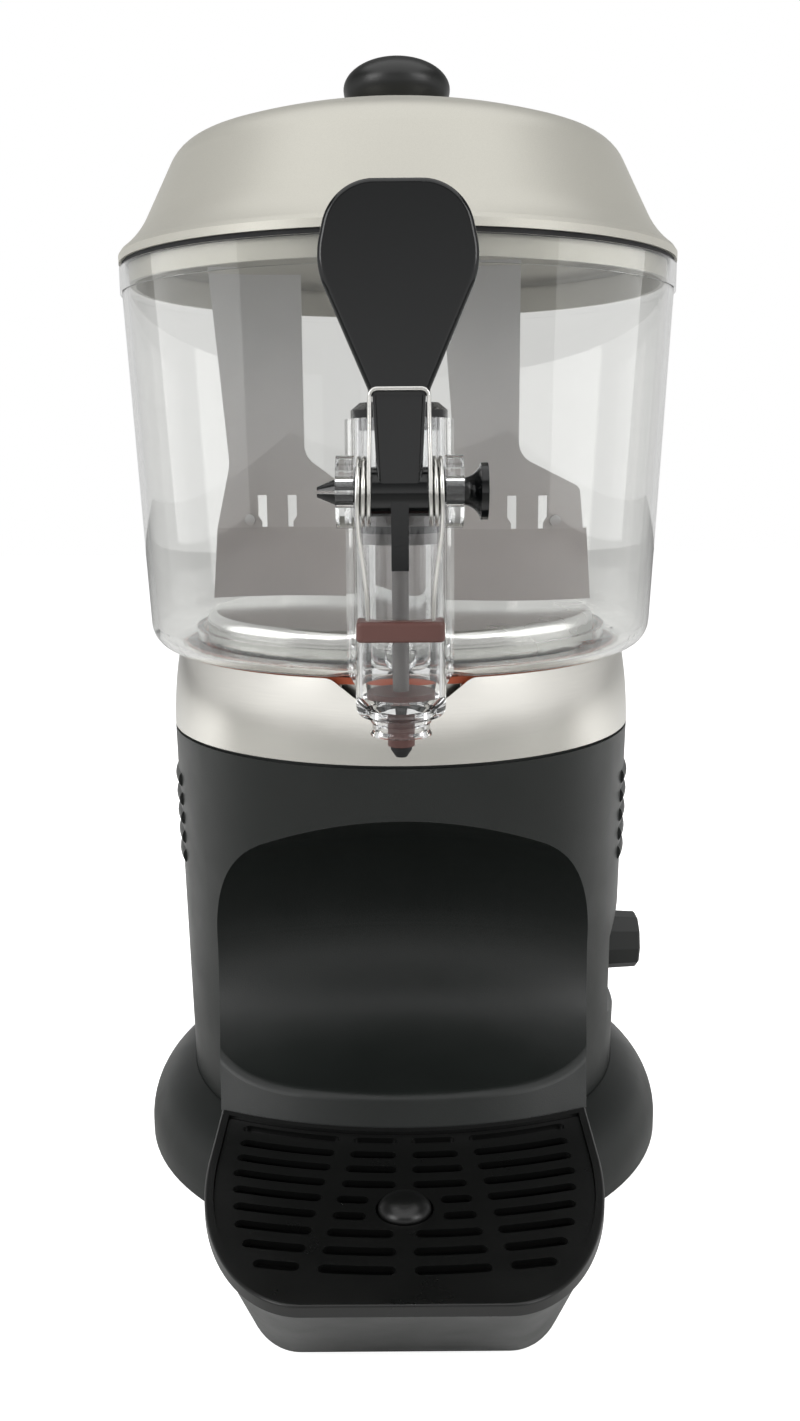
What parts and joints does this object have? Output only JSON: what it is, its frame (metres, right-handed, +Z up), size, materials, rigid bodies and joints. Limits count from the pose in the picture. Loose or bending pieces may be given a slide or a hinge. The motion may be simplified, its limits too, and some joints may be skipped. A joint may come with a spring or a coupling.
{
  "type": "hot chocolate dispenser",
  "caption": "Free-standing hot chocolate dispenser: clear heated bowl with a turning mixer, domed lid, spring-return lever tap, cup bay and lift-out drip tray.",
  "frame": {"origin": "centre of the bounding box's footprint, on the counter under the feet", "axes": "+Z up, -Y towards the user and the tap, +X to the user's right, where the thermostat knob is"},
  "size_m": [0.292, 0.4144, 0.58],
  "materials": {
    "body_grey": "matte",
    "tray_black": "satin",
    "champagne_lid": "satin",
    "polished_band": "polished",
    "clear_bowl": "clear gloss",
    "clear_tap": "clear gloss",
    "gloss_black": "gloss",
    "orange_seal": "matte",
    "mauve_mixer": "satin",
    "brown_plastic": "satin",
    "grey_plastic": "satin",
    "stainless": "brushed",
    "spring_steel": "polished",
    "black_rubber": "matte",
    "bearing_plastic": "matte",
    "motor_paint": "semi-gloss",
    "zinc_steel": "plated"
  },
  "bodies": {
    "machine": {"base_housing": "body_grey", "bottom_plate": "zinc_steel", "rubber_feet": "black_rubber", "bottom_screws": "zinc_steel", "body_shell": "body_grey", "trim_band": "polished_band", "bowl_seal": "orange_seal", "heater_drum": "stainless", "water_tank": "stainless", "heating_element": "stainless", "safety_thermostat": "grey_plastic", "shaft_tube": "stainless", "shaft_bushes": "bearing_plastic", "shaft_seal": "black_rubber", "standoffs": "zinc_steel", "motor_bracket": "zinc_steel", "gearbox": "motor_paint", "motor": "motor_paint", "thermostat": "grey_plastic", "terminal_block": "bearing_plastic", "cable_gland": "gloss_black"},
    "drive": {"drive_shaft": "stainless", "shaft_collar": "stainless"},
    "mixer": {"mixer_hub": "mauve_mixer", "right_scraper": "mauve_mixer", "left_scraper": "mauve_mixer", "right_blade": "mauve_mixer", "left_blade": "mauve_mixer", "blade_pins": "mauve_mixer"},
    "bowl": {"bowl": "clear_bowl", "tap_barrel": "clear_tap", "tap_cap": "gloss_black", "pivot_pin": "gloss_black", "spring_bar": "brown_plastic", "tap_spring": "spring_steel"},
    "lid": {"lid": "champagne_lid", "lid_seal": "black_rubber", "lid_knob": "gloss_black", "lid_washer": "stainless", "lid_screw": "stainless"},
    "handle": {"tap_handle": "gloss_black"},
    "piston": {"tap_piston": "grey_plastic", "piston_ring": "black_rubber", "valve_plug": "brown_plastic", "valve_tip": "black_rubber"},
    "dial": {"thermostat_knob": "gloss_black", "dial_spindle": "zinc_steel"},
    "tray": {"drip_tray": "tray_black"},
    "grille": {"drip_grille": "tray_black"},
    "float": {"level_float": "gloss_black"}
  },
  "joints": [
    {"name": "drive_spin", "type": "hinge", "parent": "machine", "child": "drive", "pos_m": [0, 0.06125, 0.3], "axis": [0, 0, 1], "continuous": true},
    {"name": "mixer_lift", "type": "slide", "parent": "drive", "child": "mixer", "axis": [0, 0, 1], "range_m": [0, 0.04]},
    {"name": "bowl_lift", "type": "slide", "parent": "machine", "child": "bowl", "axis": [0, 0, 1], "range_m": [0, 0.08]},
    {"name": "lid_lift", "type": "slide", "parent": "bowl", "child": "lid", "axis": [0, 0, 1], "range_m": [0, 0.06]},
    {"name": "handle_pull", "type": "hinge", "parent": "bowl", "child": "handle", "pos_m": [0, -0.13675, 0.3715], "axis": [1, 0, 0], "range_deg": [0, 30], "stiffness_Nm_per_rad": 0.6, "springref_deg": -20.05, "deforming": ["tap_spring"]},
    {"name": "piston_lift", "type": "slide", "parent": "bowl", "child": "piston", "axis": [0, 0, 1], "range_m": [0, 0.01144]},
    {"name": "thermostat_turn", "type": "hinge", "parent": "machine", "child": "dial", "pos_m": [0.1163, 0.06125, 0.1075], "axis": [1, 0, 0], "range_deg": [0, 270]},
    {"name": "tray_lift", "type": "slide", "parent": "machine", "child": "tray", "axis": [0, 0, 1], "range_m": [0, 0.045]},
    {"name": "grille_lift", "type": "slide", "parent": "tray", "child": "grille", "axis": [0, 0, 1], "range_m": [0, 0.03]},
    {"name": "float_rise", "type": "slide", "parent": "tray", "child": "float", "axis": [0, 0, 1], "range_m": [0, 0.008]}
  ],
  "couplings": [
    {"joint": "piston_lift", "follows": "handle_pull", "m_per_rad": 0.02175}
  ]
}
